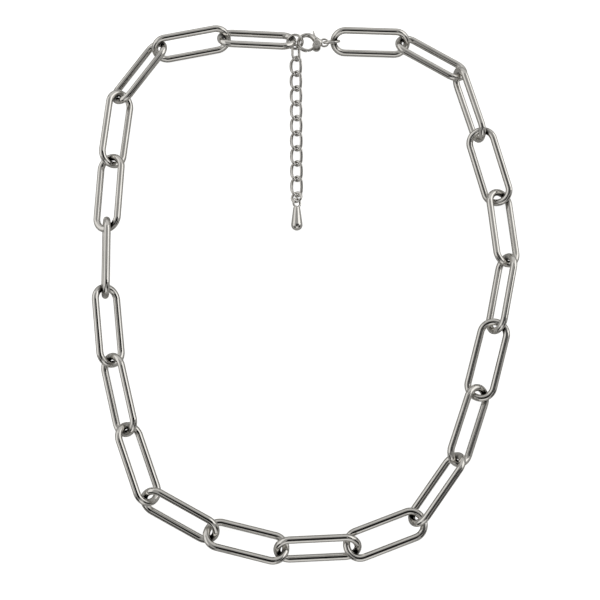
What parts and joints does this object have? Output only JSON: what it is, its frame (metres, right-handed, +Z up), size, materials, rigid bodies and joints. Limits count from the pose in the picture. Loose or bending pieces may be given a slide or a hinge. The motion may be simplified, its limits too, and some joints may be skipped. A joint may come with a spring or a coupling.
{
  "type": "paperclip chain necklace",
  "caption": "Necklace of long oval wire links lying closed in a loop, with a lobster clasp, a short twisted extender chain and a small teardrop at its end.",
  "frame": {"origin": "on the surface that the necklace lies on, under the centre of its bounding box", "axes": "+Z up from the surface; +Y from the bottom of the loop toward the clasp; +X to the right when seen from above"},
  "size_m": [0.1256, 0.1592, 0.0092],
  "materials": {
    "links": "polished white metal plating",
    "clasp": "polished white metal plating",
    "extender": "polished white metal plating"
  },
  "bodies": {
    "necklace": {"link_01": "links", "link_02": "links", "link_03": "links", "link_04": "links", "link_05": "links", "link_06": "links", "link_07": "links", "link_08": "links", "link_09": "links", "link_10": "links", "link_11": "links", "link_12": "links", "link_13": "links", "link_14": "links", "link_15": "links", "link_16": "links", "link_17": "links", "link_18": "links", "link_19": "links", "link_20": "links", "link_21": "links", "link_22": "links", "jump_ring": "extender", "clasp_body": "clasp", "clasp_pin": "clasp", "end_ring": "extender", "extender_first": "extender", "extender_1": "extender", "extender_2": "extender", "extender_3": "extender", "extender_4": "extender", "extender_5": "extender", "extender_6": "extender", "extender_7": "extender", "extender_8": "extender", "extender_9": "extender", "extender_ring": "extender", "drop": "extender"},
    "lever": {"clasp_lever": "clasp"}
  },
  "joints": [
    {"name": "clasp_gate", "type": "hinge", "parent": "necklace", "child": "lever", "pos_m": [0.00394, 0.07352, 0.00303], "axis": [0.0003, 0.0349, 0.9994], "range_deg": [-24, 0], "stiffness_Nm_per_rad": 0.002, "springref_deg": 8.59}
  ]
}
